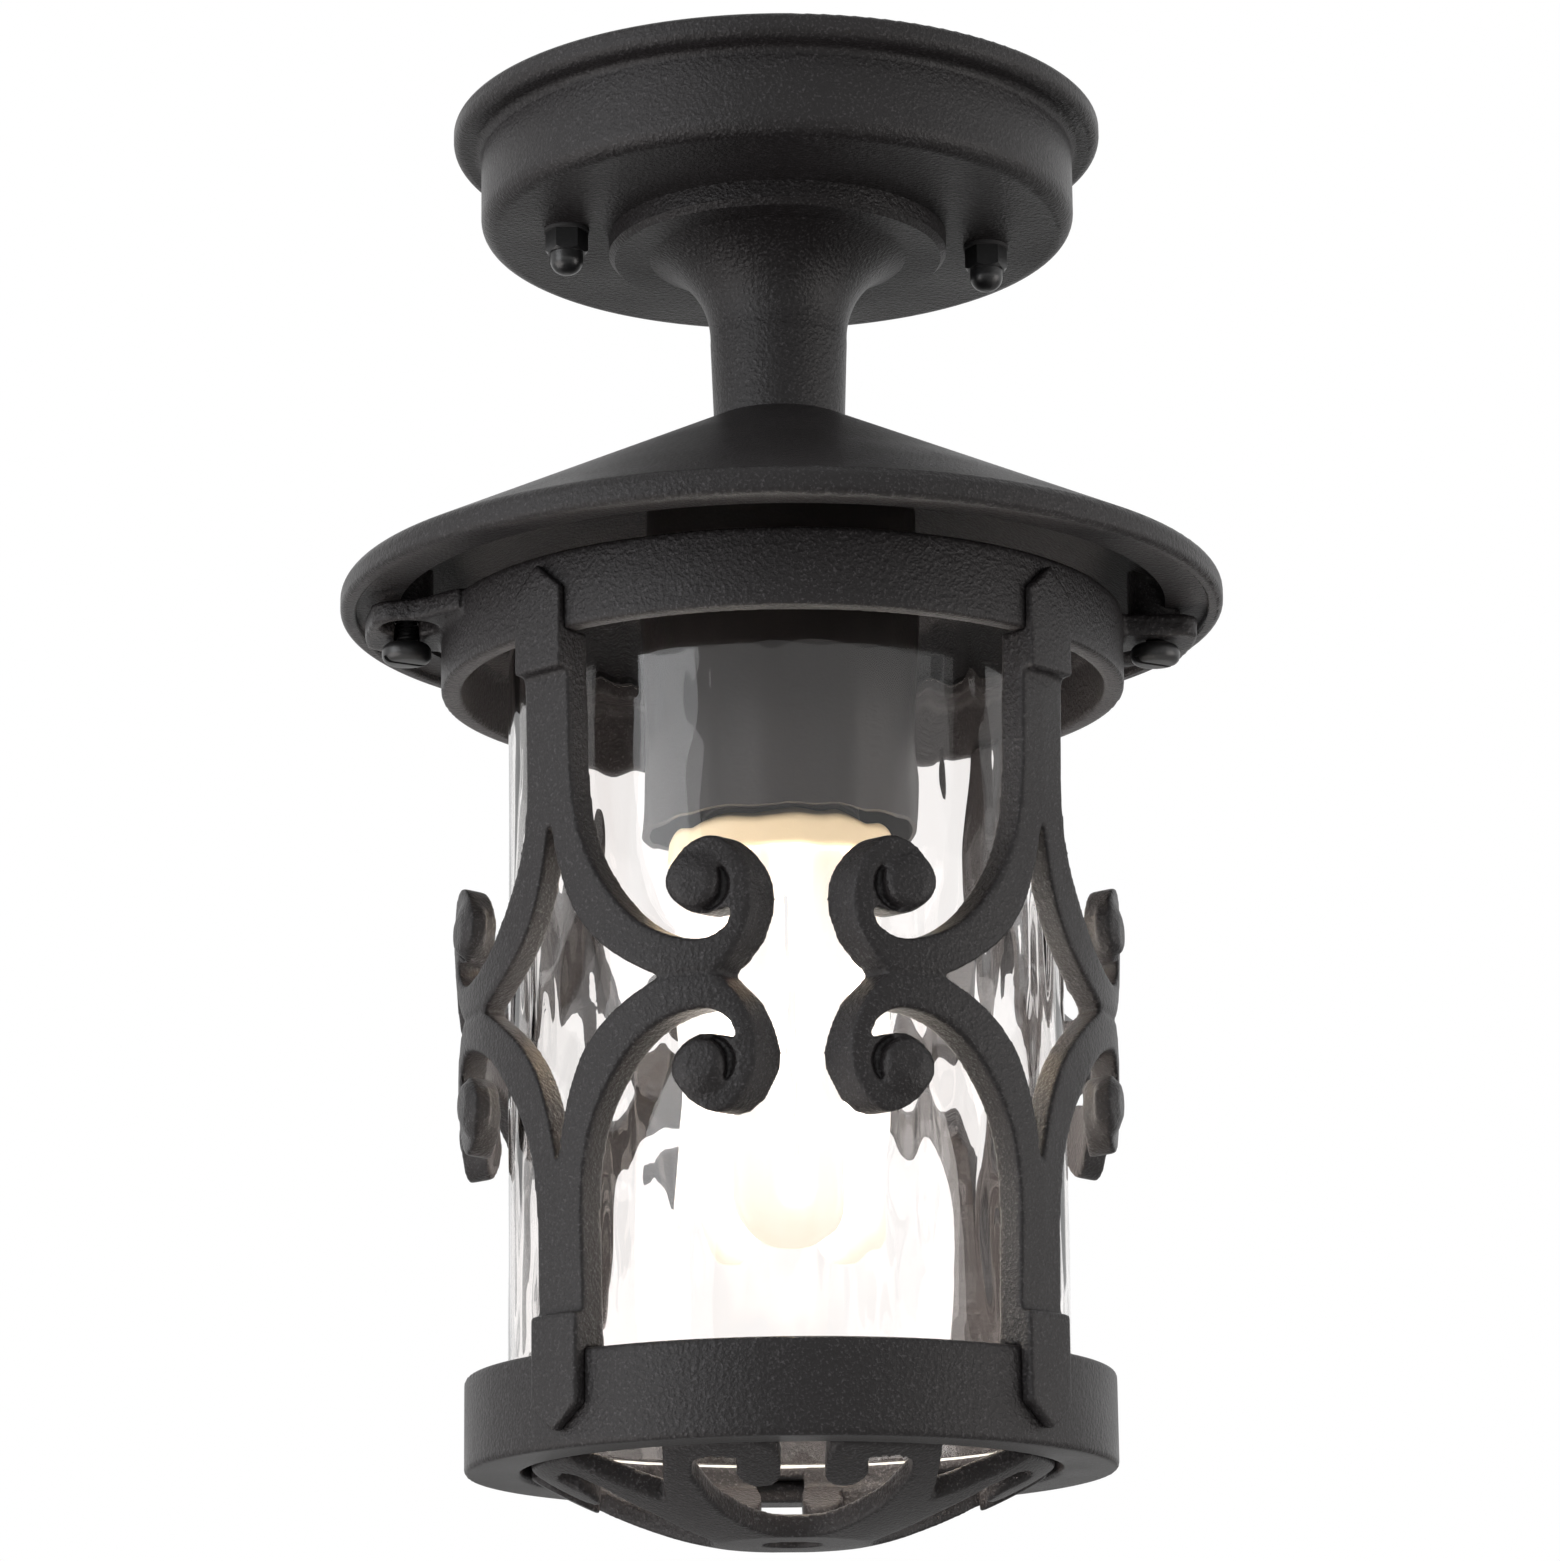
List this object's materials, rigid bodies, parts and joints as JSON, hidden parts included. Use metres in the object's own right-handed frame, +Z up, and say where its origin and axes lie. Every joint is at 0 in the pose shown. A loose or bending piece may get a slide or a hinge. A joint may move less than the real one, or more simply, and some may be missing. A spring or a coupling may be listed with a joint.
{
  "type": "ceiling lantern",
  "caption": "Porch ceiling lantern: round ceiling plate, short stem, coned roof and a scrolled cage round a glass cylinder that twists off for the lamp.",
  "frame": {"origin": "middle of the ceiling face, on the lantern's upright axis", "axes": "+Z up into the ceiling, the cage's ears and retaining screws on the X axis, one window of the cage towards -Y"},
  "size_m": [0.2, 0.2, 0.3264],
  "materials": {
    "black_casting": "fine textured powder coat",
    "black_nut": "satin",
    "black_sheet": "satin",
    "zinc_steel": "zinc plated",
    "earth_brass": "plain",
    "lamp_metal": "plain",
    "black_rubber": "matt",
    "clear_silicone": "matt",
    "white_plastic": "matt",
    "black_plastic": "matt",
    "ivory_plastic": "gloss",
    "wire_insulation": "matt",
    "lamp_glass": "phosphor coated",
    "clear_glass": "clear and rippled"
  },
  "bodies": {
    "fixture": {"mounting_strap": "zinc_steel", "strap_studs": "zinc_steel", "stud_lock_nuts": "zinc_steel", "ceiling_gasket": "black_rubber", "ceiling_plate": "black_casting", "cap_nut_washers": "black_rubber", "terminal_block": "white_plastic", "terminal_screws": "zinc_steel", "earth_screw": "earth_brass", "lamp_wires": "wire_insulation", "stem": "black_casting", "threaded_tube": "zinc_steel", "tube_washers": "zinc_steel", "tube_nuts": "zinc_steel", "roof": "black_casting", "roof_seal": "black_rubber", "lamp_cup": "black_sheet", "holder_body": "black_plastic", "holder_insulator": "white_plastic", "holder_contact": "earth_brass", "holder_shell": "earth_brass"},
    "cap_nut_left": {"cap_nut_left": "black_nut"},
    "cap_nut_right": {"cap_nut_right": "black_nut"},
    "retaining_screw_left": {"retaining_screw_left": "black_nut"},
    "retaining_screw_right": {"retaining_screw_right": "black_nut"},
    "lamp": {"lamp_tip": "lamp_metal", "lamp_cap": "lamp_metal", "lamp_base": "ivory_plastic", "lamp_tubes": "lamp_glass"},
    "cage": {"upper_ring": "black_casting", "lower_ring": "black_casting", "pillar_front_left": "black_casting", "pillar_front_right": "black_casting", "pillar_rear_left": "black_casting", "pillar_rear_right": "black_casting", "glass_cushion": "clear_silicone", "glass_cylinder": "clear_glass", "bottom_grille": "black_casting"}
  },
  "joints": [
    {"name": "cage_twist", "type": "hinge", "parent": "fixture", "child": "cage", "pos_m": [0, 0, -0.12], "axis": [0, 0, 1], "range_deg": [-8, 0]},
    {"name": "lamp_turn", "type": "hinge", "parent": "fixture", "child": "lamp", "pos_m": [0, 0, -0.16], "axis": [0, 0, 1], "continuous": true},
    {"name": "cap_nut_left_turn", "type": "hinge", "parent": "fixture", "child": "cap_nut_left", "pos_m": [-0.04873, -0.00512, -0.031], "axis": [0, 0, 1], "continuous": true},
    {"name": "cap_nut_right_turn", "type": "hinge", "parent": "fixture", "child": "cap_nut_right", "pos_m": [0.04873, 0.00512, -0.031], "axis": [0, 0, 1], "continuous": true},
    {"name": "retaining_screw_left_turn", "type": "hinge", "parent": "fixture", "child": "retaining_screw_left", "pos_m": [-0.085, 0, -0.124], "axis": [0, 0, 1], "continuous": true},
    {"name": "retaining_screw_right_turn", "type": "hinge", "parent": "fixture", "child": "retaining_screw_right", "pos_m": [0.085, 0, -0.124], "axis": [0, 0, 1], "continuous": true}
  ]
}
